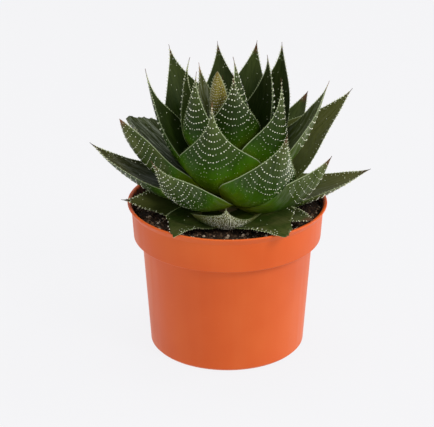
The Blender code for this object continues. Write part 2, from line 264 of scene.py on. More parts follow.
def ramp(factor, stops):
    # stops: (place, colour) pairs
    node = addNode(factor.tree, "ShaderNodeValToRGB", {0: factor})
    while len(node.color_ramp.elements) < len(stops):
        node.color_ramp.elements.new(0.5)
    for element, (place, colour) in zip(node.color_ramp.elements, stops):
        element.position = place
        element.color = linear(*colour)
    return Wire(node.outputs[0])


def mixColour(factor, first, second):
    first, second = (ink if isinstance(ink, Wire) else linear(*ink) for ink in (first, second))
    return put(factor.tree, "ShaderNodeMix", {0: factor, 6: first, 7: second}, 2, data_type="RGBA")


def bumpOf(height, strength, distance, before=None):
    wires = {"Height": height, "Strength": strength, "Distance": distance}
    if before is not None:
        wires["Normal"] = before
    return put(height.tree, "ShaderNodeBump", wires)


# Camera, floor and light

view = {
    "distance": 1.150,
    "elevation": 23.3,
    "target": (-0.0062, 0.0, 0.083),
    "focalPixels": 1909.0,
    "imageWidth": 434,
    "sensor": 36.0,
    "nearest": 0.05,
    "farthest": 20.0,
}


def makeCamera():
    data = bpy.data.cameras.new("camera")
    data.sensor_fit = "HORIZONTAL"
    data.sensor_width = view["sensor"]
    data.lens = view["focalPixels"] / view["imageWidth"] * view["sensor"]
    data.clip_start = view["nearest"]
    data.clip_end = view["farthest"]
    camera = linkObject("camera", data)
    tilt = math.radians(view["elevation"])
    back = Vector((0, -math.cos(tilt), math.sin(tilt))) * view["distance"]
    camera.location = Vector(view["target"]) + back
    camera.rotation_euler = (-back).to_track_quat("-Z", "Y").to_euler()
    bpy.context.scene.camera = camera


studio = {
    "air": (253, 253, 255),
    "airStrength": 0.665,
    "floor": (60, 60, 61),
    "floorGlow": 0.875,  # the floor is lit through from below, so it throws hardly a shadow
    "floorReach": 6.0,
    "aim": (0.0, 0.0, 0.09),
    "lamps": (  # name, place, size, watts, colour
        ("key", (0.75, -0.8, 1.0), 0.5, 8.6, (255, 250, 244)),
        ("right", (1.2, 0.2, 0.5), 0.7, 7.0, (255, 252, 250)),
        ("left", (-1.2, 0.1, 0.5), 0.6, 0.6, (255, 250, 240)),
        ("top", (0.0, 0.3, 1.3), 0.6, 3.0, (255, 255, 255)),
    ),
}


def makeStudio():
    bpy.context.scene.view_settings.view_transform = "Standard"
    air = linear(*studio["air"])
    world = bpy.data.worlds.new("studio")
    world.use_nodes = True
    wireUp(world.node_tree.nodes["Background"], {"Color": air, "Strength": studio["airStrength"]})
    bpy.context.scene.world = world
    for name, place, size, watts, colour in studio["lamps"]:
        data = bpy.data.lights.new(name, "AREA")
        data.shape = "DISK"
        data.size = size
        data.energy = watts
        data.color = linear(*colour)[:3]
        lamp = linkObject(name, data)
        lamp.location = place
        aim = Vector(studio["aim"]) - Vector(place)
        lamp.rotation_euler = aim.to_track_quat("-Z", "Y").to_euler()
    reach = studio["floorReach"]
    corners = [(-reach, -reach, 0), (reach, -reach, 0), (reach, reach, 0), (-reach, reach, 0)]
    mesh = bpy.data.meshes.new("floor")
    mesh.from_pydata(corners, [], [(0, 1, 2, 3)])
    floor = linkObject("floor", mesh)
    mesh.materials.append(finished(newMaterial("floor")[0], {
        "Base Color": linear(*studio["floor"]),
        "Roughness": 0.9,
        "Specular IOR Level": 0.0,
        "Emission Color": air,
        "Emission Strength": studio["floorGlow"],
    }))


makeCamera()
makeStudio()
print("stage: camera, floor and light")


# Pot: a thin moulded pot with a deep plain collar, turned from one outline

pot = {
    "height": 92 * mm,
    "lipRadius": 60 * mm,
    "collarHeight": 22.5 * mm,
    "collarTop": 57.6 * mm,
    "collarFoot": 56.4 * mm,
    "lipFlare": 4.0 * mm,
    "bodyTop": 51.4 * mm,
    "baseRadius": 46.7 * mm,
    "wall": 1.3 * mm,
    "floorThickness": 2.0 * mm,
    "edgeRounding": 0.45 * mm,
    "baseRounding": 2.0 * mm,
    "sides": 144,
    "drainHoles": 6,
    "drainRadius": 4.0 * mm,
    "drainCircle": 30 * mm,
    "drainTurn": math.radians(30),
    "colour": (211, 89, 26),
    "deepColour": (205, 83, 20),
    "paleColour": (216, 97, 34),
    "dustColour": (224, 132, 86),
    # the inside of the wall: painted shade and soil stains, up to a line just under the lip
    "dirt": ((0.3, (44, 24, 14)), (0.55, (92, 48, 30)), (0.8, (126, 66, 42))),
    "dirtLine": (90.2 * mm, 91.6 * mm),
    "roughness": (0.39, 0.50),
}


def potTree():
    tree, given, out = newShapeTree(
        "moulded pot", {**pot, "plastic": "Material", "soiledPlastic": "Material"}
    )
    height, flare, lip, wall = given.height, given.lipFlare, given.lipRadius, given.wall
    collar, foot, body, base = given.collarTop, given.collarFoot, given.bodyTop, given.baseRadius
    rounding, floor = given.baseRounding, given.floorThickness
    step = height - given.collarHeight
    outline = [
        (0.0, 0.0),
        (base - rounding * 1.2, 0.0),
        (base - rounding * 0.6, rounding * 0.3),
        (base + 0.1 * mm, rounding),
        (body, step),
        (foot - 0.8 * mm, step),
        (foot, step + 0.8 * mm),
        (collar - 0.25 * mm, height - flare * 1.9),
        (collar + 0.15 * mm, height - flare),
        (lip - 0.7 * mm, height - flare * 0.42),
        (lip, height - 0.5 * mm),
        (lip - 0.35 * mm, height),
        (lip - wall, height),
        (lip - wall * 1.6, height - 0.4 * mm),
        (collar - wall * 0.9, height - flare),
        (foot - wall, step + wall),
        (body - wall, step + wall),
        (base - wall, floor),
        (0.0, floor),
    ]
    shell = turnedIn(tree, outline, given.sides, given.edgeRounding, 2)
    # the drain holes stand in a ring in the floor
    circle = {"Vertices": given.drainHoles, "Radius": given.drainCircle}
    spots = put(tree, "GeometryNodeMeshCircle", circle)
    plug = {"Vertices": 32, "Radius": given.drainRadius, "Depth": 12 * mm}
    plug = put(tree, "GeometryNodeMeshCylinder", plug)
    plugs = put(tree, "GeometryNodeInstanceOnPoints", {"Points": spots, "Instance": plug})
    plugs = put(tree, "GeometryNodeRealizeInstances", {0: plugs})
    turn = put(tree, "ShaderNodeCombineXYZ", {2: given.drainTurn})
    plugs = put(tree, "GeometryNodeTransform", {0: plugs, "Rotation": turn})
    wires = {"Mesh 1": shell, "Mesh 2": plugs}
    drilled = put(tree, "GeometryNodeMeshBoolean", wires, operation="DIFFERENCE")
    clean = dressed(drilled, given.plastic, smooth=False)
    # the wall's inside, where the faces look toward the middle, gets painted shade mottled with soil
    # stains
    outward = flatOf(put(tree, "GeometryNodeInputPosition"))
    outward = put(tree, "ShaderNodeVectorMath", {0: outward}, operation="NORMALIZE")
    wires = {0: put(tree, "GeometryNodeInputNormal"), 1: outward}
    facing = put(tree, "ShaderNodeVectorMath", wires, "Value", operation="DOT_PRODUCT")
    wires = {
        0: clean, "Selection": calc("LESS_THAN", facing, -0.8), "Material": given.soiledPlastic
    }
    wireUp(out, {0: put(tree, "GeometryNodeSetMaterial", wires)})
    return tree


def soiledMaterial():
    material, tree = newMaterial("soiled plastic")
    place = objectPlace(tree)
    clods = noiseOf(place, 420, 5.0, 0.65)
    height = partsOf(place)[2] + (clods - 0.5) * (3.5 * mm)
    # dark reddish brown below a line under the lip, the plain colour above: painted shade and soil
    # stains
    shade = mixColour(grade(height, *pot["dirtLine"]), ramp(clods, pot["dirt"]), pot["deepColour"])
    return finished(material, {
        "Base Color": shade,
        "Roughness": 0.75,
        "Specular IOR Level": 0.2,
        "Normal": bumpOf(clods, 0.4, 0.3 * mm),
    })


def plasticMaterial():
    material, tree = newMaterial("terracotta plastic")
    place = objectPlace(tree)
    broad = noiseOf(place, 22, 2.0)
    runs = noiseOf(stretched(place, (160, 160, 9)), 1.0)  # faint flow lines of moulding
    grain = noiseOf(place, 1800, 2.0)
    dust = grade(noiseOf(place, 260, 6.0, 0.65), 0.62, 0.78)
    shades = ((0.3, pot["deepColour"]), (0.52, pot["colour"]), (0.75, pot["paleColour"]))
    colour = mixColour(dust * 0.14, ramp(broad, shades), pot["dustColour"])
    colour = mixColour(grade(runs, 0.35, 0.7) * 0.05, colour, pot["dustColour"])
    fine = bumpOf(grain, 0.05, 0.05 * mm)
    return finished(material, {
        "Base Color": colour,
        "Roughness": grade(runs, 0.3, 0.7, *pot["roughness"]),
        "Specular IOR Level": 0.25,
        "Subsurface Weight": 0.06,
        "Subsurface Radius": (1.0, 0.45, 0.25),
        "Subsurface Scale": 1.2 * mm,
        "Normal": bumpOf(runs, 0.12, 0.15 * mm, fine),
    })


def makePot():
    skins = {"plastic": plasticMaterial(), "soiledPlastic": soiledMaterial()}
    piece = runShapeTree(linkObject("mouldedPot"), potTree(), skins)
    piece.data.shade_smooth()
    piece.data.set_sharp_from_angle(angle=math.radians(32))
    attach(piece, "root")
    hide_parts("pot")


makePot()
print("stage: pot")


# Soil: a plug of potting mix with a crumbly top

soil = {
    "top": 85 * mm,
    "topRadius": 55.4 * mm,
    "rise": 1.1 * mm,
    "lumpSize": 7 * mm,
    "bank": 2.2 * mm,  # how far the soil banks up against the wall
    "bankZone": (40 * mm, 54 * mm),  # from the middle
    "bankSide": (-40 * mm, 20 * mm, 0.15, 1.0),  # from the low back left to the high front right
    "sides": 128,
    "crumbsPerSquareMetre": 360000.0,
    "smallestCrumb": 0.7 * mm,
    "biggestCrumb": 3.3 * mm,
    "crumbShape": ((0.55, 0.6, 0.45), (1.25, 1.0, 0.95)),  # the least and the most of each side
    "paleShare": 0.13,
    "seed": 5,
    "underside": ((0.0, 2.4), (44.5, 2.4), (49.6, 71.2), (54.6, 71.4)),  # mm: radius, height
    "mixColours": ((0.25, (24, 15, 12)), (0.5, (66, 49, 34)), (0.78, (138, 112, 88))),
    "paleColours": ((0.3, (138, 112, 88)), (0.6, (210, 192, 170))),
}


def soilTree():
    tree, given, out = newShapeTree("potting soil", {**soil, "mix": "Material", "paleBits": "Material"})
    top, seed, smallest = given.top, given.seed, given.smallestCrumb
    rings = 44
    outline = [(radius * mm, height * mm) for radius, height in soil["underside"]]
    outline += [(given.topRadius * (ring / rings), top) for ring in range(rings, -1, -1)]
    plug = turnedIn(tree, outline, given.sides)
    place = put(tree, "GeometryNodeInputPosition")
    x, y, z = partsOf(place)
    onTop = calc("GREATER_THAN", z, top - 1 * mm)
    lumps = noiseOf(place, calc("DIVIDE", 1.0, given.lumpSize), 4.0)
    reach = put(tree, "ShaderNodeVectorMath", {0: flatOf(place)}, "Value", operation="LENGTH")
    side = grade(x * 0.6 - y * 0.8, *soil["bankSide"])
    bank = side * grade(reach, *soil["bankZone"]) * given.bank
    lift = (lumps - 0.5) * 2.0 * given.rise + bank
    wires = {0: plug, "Selection": onTop, "Offset": put(tree, "ShaderNodeCombineXYZ", {2: lift})}
    rough = put(tree, "GeometryNodeSetPosition", wires)

    upward = calc("GREATER_THAN", partsOf(put(tree, "GeometryNodeInputNormal"))[2], 0.5)
    wires = {
        0: rough, "Selection": upward * onTop, "Density": given.crumbsPerSquareMetre, "Seed": seed
    }
    scatter = put(tree, "GeometryNodeDistributePointsOnFaces", wires)
    share = calc("POWER", randomOf(tree, "FLOAT", {"Seed": seed + 1.0}), 3.0)
    size = smallest + share * (given.biggestCrumb - smallest)
    shape = randomOf(tree, "FLOAT_VECTOR", dict(enumerate(soil["crumbShape"])))
    turn = randomOf(tree, "FLOAT_VECTOR", {0: (0.0, 0.0, 0.0), 1: (6.28, 6.28, 6.28)})
    crumbs = put(tree, "GeometryNodeInstanceOnPoints", {
        "Points": scatter,
        "Instance": put(tree, "GeometryNodeMeshIcoSphere", {"Radius": 0.5, "Subdivisions": 1}),
        "Rotation": put(tree, "FunctionNodeEulerToRotation", {0: turn}),
        "Scale": put(tree, "ShaderNodeVectorMath", {0: shape, 3: size}, operation="SCALE"),
    })
    pick = randomOf(tree, "BOOLEAN", {"Probability": given.paleShare, "Seed": seed + 2.0})
    tint = randomOf(tree, "FLOAT", {"Seed": seed + 3.0})
    for name, kind, value in (("pale", "BOOLEAN", pick), ("crumbTint", "FLOAT", tint)):
        wires = {0: crumbs, "Name": name, "Value": value}
        crumbs = put(tree, "GeometryNodeStoreNamedAttribute", wires, data_type=kind, domain="INSTANCE")
    wires = {
        0: dressed(crumbs, given.mix, smooth=False),
        "Selection": storedOf(tree, "pale", "BOOLEAN"),
        "Material": given.paleBits,
    }
    crumbs = put(tree, "GeometryNodeSetMaterial", wires)
    wireUp(out, {0: joined(crumbs, dressed(rough, given.mix))})
    return tree


def soilMaterial(name, stops, roughness):
    material, tree = newMaterial(name)
    fine = noiseOf(objectPlace(tree), 900, 5.0, 0.65)
    return finished(material, {
        "Base Color": ramp(fine * 0.7 + attributeOf(tree, "crumbTint") * 0.3, stops),
        "Roughness": roughness,
        "Specular IOR Level": 0.25,
        "Normal": bumpOf(fine, 0.7, 0.4 * mm),
    })


def makeSoil():
    skins = {
        "mix": soilMaterial("potting mix", soil["mixColours"], 0.9),
        "paleBits": soilMaterial("pale bark and grit", soil["paleColours"], 0.85),
    }
    piece = runShapeTree(linkObject("pottingSoil"), soilTree(), skins)
    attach(piece, "root")
    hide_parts("soil")


makeSoil()
print("stage: soil")


# Stem: short and stout, its foot reaching down into the soil

stem = {
    # mm: radius, height over the soil
    "outline": ((9, -13), (10, -12), (10, 1.5), (8.6, 12), (6.8, 25), (4.8, 35), (2.6, 38.4)),
    "sides": 40,
    "colour": (92, 104, 46),
    "dryColour": (128, 104, 72),
}


def stemMaterial():
    material, tree = newMaterial("old stem")
    bands = noiseOf(stretched(objectPlace(tree), (90, 90, 420)), 1.0, 4.0, 0.6)
    return finished(material, {
        "Base Color": ramp(bands, ((0.35, stem["colour"]), (0.65, stem["dryColour"]))),
        "Roughness": 0.75,
        "Normal": bumpOf(bands, 0.5, 0.6 * mm),
    })


def makeStem():
    tree, given, out = newShapeTree("stem", {**stem, "skin": "Material"})
    outline = [(radius * mm, soil["top"] + height * mm) for radius, height in stem["outline"]]
    outline = [(0.0, outline[0][1])] + outline + [(0.0, outline[-1][1])]
    turned = turnedIn(tree, outline, given.sides, 0.6 * mm, 2)
    wireUp(out, {0: dressed(turned, given.skin)})
    piece = runShapeTree(linkObject("stoutStem"), tree, {"skin": stemMaterial()})
    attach(piece, "root")
    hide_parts("stem")


makeStem()
print("stage: stem")


# Leaves: thick blades round the stem, each one a curved spine that carries a keeled section. A row
# holds the node, the direction (degrees), the point's x, y and z from the middle of the soil's top, the
# root's height, the sag and the width (mm), the taper, the cup, the roll (degrees) and the depth as a
# share of the half-width

leafRows = (
    ("leaf_heart", -120, -6, -2, 89, 38, 1, 17, 0.7, 0.05, 0, 0.80),
    ("leaf_inner_1", 90, -3, 8, 83, 36, 2, 20, 1.8, 0.30, 0, 0.34),
    ("leaf_inner_2", -30, 3, -2, 98, 33, 5, 28, 1.8, 0.30, 0, 0.34),
    ("leaf_inner_3", -128, -18, -17, 94, 30, 11, 31, 1.9, 0.15, 5, 0.34),
    ("leaf_inner_4", 125, -17, 20, 87, 30, 4, 24, 1.7, 0.30, 0, 0.34),
    ("leaf_inner_5", -73, 3, -14, 92, 29, 6, 38, 2.0, 0.30, 0, 0.34),
    ("leaf_inner_6", 28, 23, 1, 98, 27, 10, 33, 1.5, 0.35, 5, 0.34),
    ("leaf_inner_7", 153, -22, 6, 95, 26, 12, 26, 2.1, 0.25, -11, 0.34),
    ("leaf_upper_1", 80, -6, 30, 97, 25, 4, 38, 1.6, 0.30, 2, 0.34),
    ("leaf_upper_2", 43, 32, 16, 101, 18, 13, 39, 1.5, 0.30, 10, 0.34),
    ("leaf_upper_3", 124, -35, 30, 95, 22, 8, 48, 1.8, 0.15, -11, 0.34),
    ("leaf_upper_4", -45, 31, -5, 86, 20, 14, 39, 2.2, 0.20, -4, 0.34),
    ("leaf_upper_5", 167, -48, 0, 90, 16, 9, 36, 2.0, 0.25, -2, 0.34),
    ("leaf_upper_6", 68, 18, 41, 94, 21, 4, 41, 1.5, 0.25, 5, 0.34),
    ("leaf_upper_7", -106, -9, -33, 81, 14, 10, 50, 2.3, 0.30, 4, 0.36),
    ("leaf_middle_1", -5, 59, -7, 85, 16, 9, 39, 1.6, 0.25, 8, 0.34),
    ("leaf_middle_2", 112, -24, 58, 62, 15, 6, 38, 1.8, 0.30, 0, 0.34),
    ("leaf_middle_3", -134, -64, 5, 57, 12, 9, 37, 0.9, 0.10, 0, 0.34),
    ("leaf_middle_4", -56, 34, -39, 64, 11, 12, 52, 1.7, 0.20, -9, 0.36),
    ("leaf_middle_5", 37, 50, 57, 56, 14, 8, 38, 1.1, 0.30, 5, 0.34),
    ("leaf_middle_6", 78, 12, 62, 58, 13, 7, 38, 1.8, 0.30, 0, 0.34),
    ("leaf_middle_7", 48, 74, 11, 74, 9, 7, 52, 1.6, 0.15, -9, 0.34),
    ("leaf_middle_8", 160, -59, 22, 54, 11, 3, 46, 0.6, 0.25, 0, 0.34),
    ("leaf_lower_1", -46, 61, -17, 42, 10, 13, 47, 1.3, 0.30, 0, 0.34),
    ("leaf_lower_2", -95, -44, -42, 49, 12, 13, 38, 1.6, 0.20, -8, 0.28),
    ("leaf_lower_3", 173, -82, 5, 42, 9, 8, 39, 1.3, 0.25, 1, 0.34),
    ("leaf_lower_4", 118, -36, 66, 34, 9, 6, 36, 1.6, 0.30, 0, 0.34),
    ("leaf_lower_5", -92, -1, -51, 23, 2, 9, 42, 1.8, 0.30, 0, 0.22),
    ("leaf_lower_6", 58, 44, 70, 34, 8, 6, 36, 1.6, 0.30, 0, 0.34),
    ("leaf_lower_7", 16, 86, 5, 25, 6, 5, 44, 1.3, 0.20, 0, 0.34),
    ("leaf_ground_1", -128, -37, -50, 7, 3, 0, 31, 0.5, 0.06, -10, 0.20),
    ("leaf_ground_2", -50, 39, -52, 11, 3, 0, 39, 0.5, 0.06, 12, 0.20),
    ("leaf_ground_3", 88, 3, 84, 20, 5, 5, 36, 1.6, 0.30, 0, 0.34),
    ("leaf_ground_4", 150, -56, 32, 17, 5, 4, 32, 1.6, 0.30, 0, 0.34),
    ("leaf_ground_5", 176, -63, -14, 13, 3, 2, 40, 1.5, 0.25, -16, 0.34),
    ("leaf_ground_6", 38, 50, 42, 13, 4, 3, 26, 1.6, 0.20, 0, 0.34),
    ("leaf_ground_7", -33, 50, -36, 9, 3, 0, 28, 0.9, 0.10, 6, 0.24),
)

leaf = {
    "rings": 60,
    "facePoints": 33,
    "ringLean": 1.35,  # above 1 the rings stand closer toward the point
    "cutterRings": 30,
    "cutterPoints": 15,
    "rootReach": 4 * mm,
    "rootWidth": 0.36,  # share of the full width at the root
    "shoulder": 0.42,  # where the full width is reached
    "taperFrom": 0.35,
    "awn": 0.14 * mm,  # half the width of the point
    "leastDepth": 0.24 * mm,
    "keelAtRoot": 2.4,
    "keelAtTip": 1.3,
    "keelReach": 0.8,
    "fullness": 0.8,
    "lowRoot": 9 * mm,  # leaves that start below this rest over the soil and the rim
    "overSoil": 1.3 * mm,
    "overLip": 0.6 * mm,
    "rimZone": 47 * mm,
    "rimClimb": 14 * mm,
    "skin": 0.6 * mm,
    "gapInner": 0.15 * mm,  # room left round a leaf where the next one lies against it
    "gapBack": 0.42 * mm,
    "gapMargin": 0.3 * mm,
    "fullGrown": 6 * mm,  # a leaf with less half-width has lower waves and wrinkles
    "wave": 0.5 * mm,
    "waves": ((1.0, 9 * mm), (0.6, 5.2 * mm)),  # weight and length
    "sway": 0.35 * mm,
    "swayLength": 14 * mm,
    "wrinkle": 0.10 * mm,
    "wrinkles": ((1.0, 1.0, 1.0), (0.7, 1.73, -1.4), (0.5, 2.6, 2.2)),  # weight, across, along
    "wrinkleWidth": 2.6 * mm,
    "wrinkleLength": 26 * mm,
    "marginRipple": 0.02,
    "rippleLength": 7 * mm,
    "patch": 1.6,  # how silvery a leaf is in the middle of its patch: worn skin and painted sheen
    "seed": 40,
}

plainLook = {
    "bronze": 0.12,  # 0-1, toward the point
    "dry": 0.0,  # 0-1
    "light": 0.0,  # 0-1, a paler olive
    "shade": 0.0,  # 0-1, painted shade: darker in the rosette's heart
    "silver": 0.0,  # 0-1, silvery scuffs and painted sheen
    "patch": None,  # a silvery place on the back, worn skin and painted sheen: along, across, and how far it reaches each way
    "tip": 0.3,  # 0 dark to 1 pinkish
    "point": 0.0,  # how much shorter than usual the coloured point is
    "wrinkle": 1.0,  # times the usual
    "spots": 0.72,  # share of the length that carries rows
    "dense": 1.0,  # rows, times the usual
    "dots": 1.0,  # size of the spots, times the usual
    "beads": 0.0,  # size of the spots inside the margins, times the usual
    "broken": 0.0,  # share of the width left at a torn end
    "cut": None,  # where a torn end stops at the left, middle and right of the inner face
}

leafLooks = {
    "leaf_heart": {
        "bronze": 0.0, "point": 5 * mm, "wrinkle": 1.6, "spots": 0.95, "dense": 2.2, "dots": 0.62,
    },
    "leaf_inner_1": {"shade": 0.3},
    "leaf_inner_2": {"shade": 0.4},
    "leaf_inner_3": {"shade": 0.3},
    "leaf_inner_4": {"bronze": 0.4, "light": 0.2, "silver": 0.8, "tip": 1.0},
    "leaf_inner_5": {"shade": 0.55},
    "leaf_inner_6": {"shade": 0.5},
    "leaf_inner_7": {"shade": 0.25},
    "leaf_upper_1": {"shade": 0.25},
    "leaf_upper_2": {"shade": 0.25},
    "leaf_upper_4": {"shade": 0.3, "dots": 0.9},
    "leaf_upper_5": {"shade": 0.3},
    "leaf_upper_7": {"bronze": 0.1, "tip": 1.0},
    "leaf_middle_1": {
        "light": 0.2, "silver": 0.5, "patch": (0.55, 0.1, 0.3, 0.3), "tip": 0.7, "spots": 0.5,
        "dots": 0.8,
    },
    "leaf_middle_3": {"dry": 0.1, "tip": 0.6, "point": 2 * mm, "dots": 0.72},
    "leaf_middle_4": {"silver": 0.1, "patch": (0.7, 0.8, 0.13, 0.42), "wrinkle": 1.6},
    "leaf_middle_7": {"bronze": 0.5, "light": 0.4, "wrinkle": 2.4, "beads": 1.0},
    "leaf_middle_8": {
        "bronze": 0.2, "silver": 0.9, "point": 60 * mm, "wrinkle": 3.0, "broken": 0.5,
        "cut": (0.86, 0.98, 0.9),
    },
    "leaf_lower_1": {
        "light": 0.1, "silver": 0.25, "patch": (0.72, 0.5, 0.16, 0.5), "spots": 0.5, "dots": 0.7,
    },
    "leaf_lower_2": {"silver": 0.15, "dense": 1.25, "dots": 0.85},
    "leaf_lower_3": {"bronze": 0.5, "silver": 0.4, "tip": 0.1, "wrinkle": 3.4, "beads": 1.1},
    "leaf_lower_5": {
        "dry": 1.0, "light": 0.75, "tip": 0.6, "point": 6 * mm, "wrinkle": 2.0, "spots": 0.9,
        "dense": 2.6, "dots": 0.8,
    },
    "leaf_lower_7": {"bronze": 0.6, "light": 0.3, "tip": 0.1, "wrinkle": 2.4, "beads": 1.0},
    "leaf_ground_1": {
        "bronze": 0.0, "dry": 0.1, "shade": 0.3, "point": 60 * mm, "wrinkle": 1.6, "spots": 0.4,
        "broken": 0.6, "cut": (0.7, 0.9, 1.05),
    },
    "leaf_ground_2": {
        "bronze": 0.1, "dry": 0.1, "point": 60 * mm, "wrinkle": 1.6, "beads": 1.0, "broken": 0.6,
        "cut": (1.07, 0.93, 0.68),
    },
    "leaf_ground_5": {"bronze": 0.4, "light": 0.1, "tip": 0.1, "beads": 1.1},
    "leaf_ground_7": {"bronze": 0.2, "dry": 0.1, "silver": 0.2, "wrinkle": 1.8, "beads": 0.8},
}


def unit(rows):
    return rows / np.linalg.norm(rows, axis=-1, keepdims=True)


def readLeaf(row, number):
    name, direction, *tip, rootHeight, sag, width, taper, cup, roll, depth = row
    angle = math.radians(direction)
    reach = leaf["rootReach"]
    base = np.array((0.0, 0.0, soil["top"]))
    across = np.array((-math.sin(angle), math.cos(angle), 0.0))
    root = base + np.array((math.cos(angle) * reach, math.sin(angle) * reach, rootHeight * mm))
    tip = base + np.array(tip) * mm
    chord = tip - root
    up = unit(np.cross(chord, across))
    draw = random.Random(leaf["seed"] + number)
    shape = SimpleNamespace(
        across=across,
        root=root,
        tip=tip,
        bend=root + chord * 0.5 - up * (2 * sag * mm),
        half=width * mm / 2,
        taper=taper,
        cup=cup,
        roll=math.radians(roll),
        depth=depth,
        low=rootHeight * mm < leaf["lowRoot"],
        look={**plainLook, **leafLooks.get(name, {})},
        draw=draw,
        phases=[draw.uniform(0, 2 * math.pi) for _ in range(12)],
        steps=np.linspace(0, 1, 201),
    )
    points = spineOf(shape, shape.steps)[0]
    runs = np.linalg.norm(np.diff(points, axis=0), axis=1)
    shape.lengths = np.concatenate(([0], np.cumsum(runs)))
    shape.length = shape.lengths[-1]
    return shape


def spineOf(shape, along):
    # the spine's points, and there the ways to the side, inward and ahead
    along = np.asarray(along, float)[:, None]
    rest = 1 - along
    root, bend, tip = shape.root, shape.bend, shape.tip
    point = root * rest**2 + bend * (2 * along * rest) + tip * along**2
    ahead = unit((bend - root) * rest + (tip - bend) * along)
    side = unit(shape.across - ahead * (ahead @ shape.across)[:, None])
    turn = shape.roll
    side = side * math.cos(turn) + np.cross(ahead, side) * math.sin(turn)
    return point, side, np.cross(ahead, side), ahead


def halfWidthOf(shape, along):
    swell = np.sin(np.pi / 2 * np.minimum(along / leaf["shoulder"], 1))
    root = leaf["rootWidth"] + (1 - leaf["rootWidth"]) * swell
    run = np.clip((along - leaf["taperFrom"]) / (1 - leaf["taperFrom"]), 0, 1)
    share = np.maximum((1 - run**1.5) ** shape.taper, shape.look["broken"])
    return np.maximum(shape.half * root * share, leaf["awn"])


def softMax(value, floor, blend=1.2 * mm):
    return (value + floor + np.sqrt((value - floor) ** 2 + blend**2)) / 2


def bladePoints(shape, along, across, back):
    # points of the skin: along 0-1 from root to tip, across -1 to 1, back is 1 on the keeled face
    point, side, inward, _ = spineOf(shape, along)
    half, reach, phase = halfWidthOf(shape, along), np.abs(across), shape.phases
    keelRun = np.minimum(along / leaf["keelReach"], 1)
    keel = leaf["keelAtRoot"] - (leaf["keelAtRoot"] - leaf["keelAtTip"]) * keelRun
    depth = np.maximum(shape.depth * half * (1 - 0.1 * along), leaf["leastDepth"])
    drop = depth * np.maximum(1 - reach**keel, 0) ** leaf["fullness"] * back

    grown = np.minimum(half / leaf["fullGrown"], 1)
    run = along * shape.length
    waves = zip(leaf["waves"], phase)
    swell = sum(weight * np.sin(run / size + turn) for (weight, size), turn in waves)
    swell = leaf["wave"] * grown * across**2 * swell * np.where(across > 0, 1.0, -0.7)
    sway = leaf["sway"] * grown * np.sin(run / leaf["swayLength"] + phase[2] + across * 1.3)
    lift = shape.cup * half * across**2 + swell + sway

    place = across * half / leaf["wrinkleWidth"] * 2 * np.pi
    bend = run / leaf["wrinkleLength"]
    wrinkles = zip(leaf["wrinkles"], phase[3:])
    furrow = sum(
        weight * np.sin(place * wide + bend * long + turn) for (weight, wide, long), turn in wrinkles
    )
    height = leaf["wrinkle"] * shape.look["wrinkle"] * grown * (1 - reach**4)
    height = height * (0.6 + 0.4 * np.sin(bend * 2 + phase[6]))
    lift = lift + furrow * height * np.where(back > 0.5, 0.3, 1.0)
    ripple = np.sin(run / leaf["rippleLength"] + phase[7] + np.sign(across))
    half = half * (1 + leaf["marginRipple"] * ripple)
    rows = point + side * (half * across)[:, None] + inward * (lift - drop)[:, None]
    if shape.low:
        more = np.where(back > 0.5, 0.0, leaf["skin"] * (0.3 + 0.7 * (1 - reach**2)))
        out = np.hypot(rows[:, 0], rows[:, 1])
        climb = np.clip((out - leaf["rimZone"] + leaf["rimClimb"]) / leaf["rimClimb"], 0, 1)
        soilFloor, rimFloor = soil["top"] + leaf["overSoil"], pot["height"] + leaf["overLip"]
        floor = soilFloor + (rimFloor - soilFloor) * climb + more
        rows[:, 2] = softMax(rows[:, 2], floor - 0.3 * mm)
    return rows


def bladeMesh(name, shape, rings, points):
    # rings of skin points, each going over the inner face and back under the keel
    spread = np.linspace(-1, 1, points)
    across = 0.55 * np.sin(np.pi / 2 * spread) + 0.45 * spread
    across = np.concatenate((across, across[-2:0:-1]))
    back = np.concatenate((np.zeros(points), np.ones(points - 2)))
    back[[0, points - 1]] = 0.5
    count = len(across)
    along = np.repeat(1 - (1 - np.linspace(0, 1, rings)) ** leaf["ringLean"], count)
    u, back = np.tile(across, rings), np.tile(back, rings)
    if shape.look["cut"]:
        # a torn end is oblique and slightly ragged
        first, second = shape.phases[8:10]
        ragged = 0.008 * np.sin(u * 9 + first) + 0.006 * np.sin(u * 23 + second)
        along = along * (np.interp(u, (-1, 0, 1), shape.look["cut"]) + ragged * (np.abs(u) < 0.97))
    rows = bladePoints(shape, along, u, (back > 0.75).astype(float))
    faces = []
    for start in range(0, (rings - 1) * count, count):
        for k in range(count):
            after = (k + 1) % count
            faces.append((start + k, start + count + k, start + count + after, start + after))
    for start in (0, (rings - 1) * count):
        # both ends are closed by a strip, of which the first and the last face have three corners
        for k in range(points - 1):
            corners = (k, -k, -k - 1, k + 1) if start else (-k, k, k + 1, -k - 1)
            faces.append(tuple(dict.fromkeys(start + corner % count for corner in corners)))
    mesh = bpy.data.meshes.new(name)
    mesh.from_pydata(rows.tolist(), [], faces)
    return mesh, along, u, back


def volumeOf(mesh):
    work = bmesh.new()
    work.from_mesh(mesh)
    volume = work.calc_volume(signed=True)
    work.free()
    return volume


def makeCutter(shape):
    # a leaf with a little room round it, which shapes the leaves that lie against it
    mesh, _, _, back = bladeMesh("cutter", shape, leaf["cutterRings"], leaf["cutterPoints"])
    normals, rows = np.empty((2, len(mesh.vertices) * 3))
    mesh.vertex_normals.foreach_get("vector", normals)
    mesh.vertices.foreach_get("co", rows)
    room = np.where(back > 0.75, leaf["gapBack"], leaf["gapMargin"])
    room = np.where(back < 0.25, leaf["gapInner"], room)
    mesh.vertices.foreach_set("co", rows + normals * np.repeat(room, 3))
    mesh.update()
    return linkObject("cutter", mesh)


def meshTree(mesh):
    points = [vertex.co[:] for vertex in mesh.vertices]
    return BVHTree.FromPolygons(points, [face.vertices[:] for face in mesh.polygons])


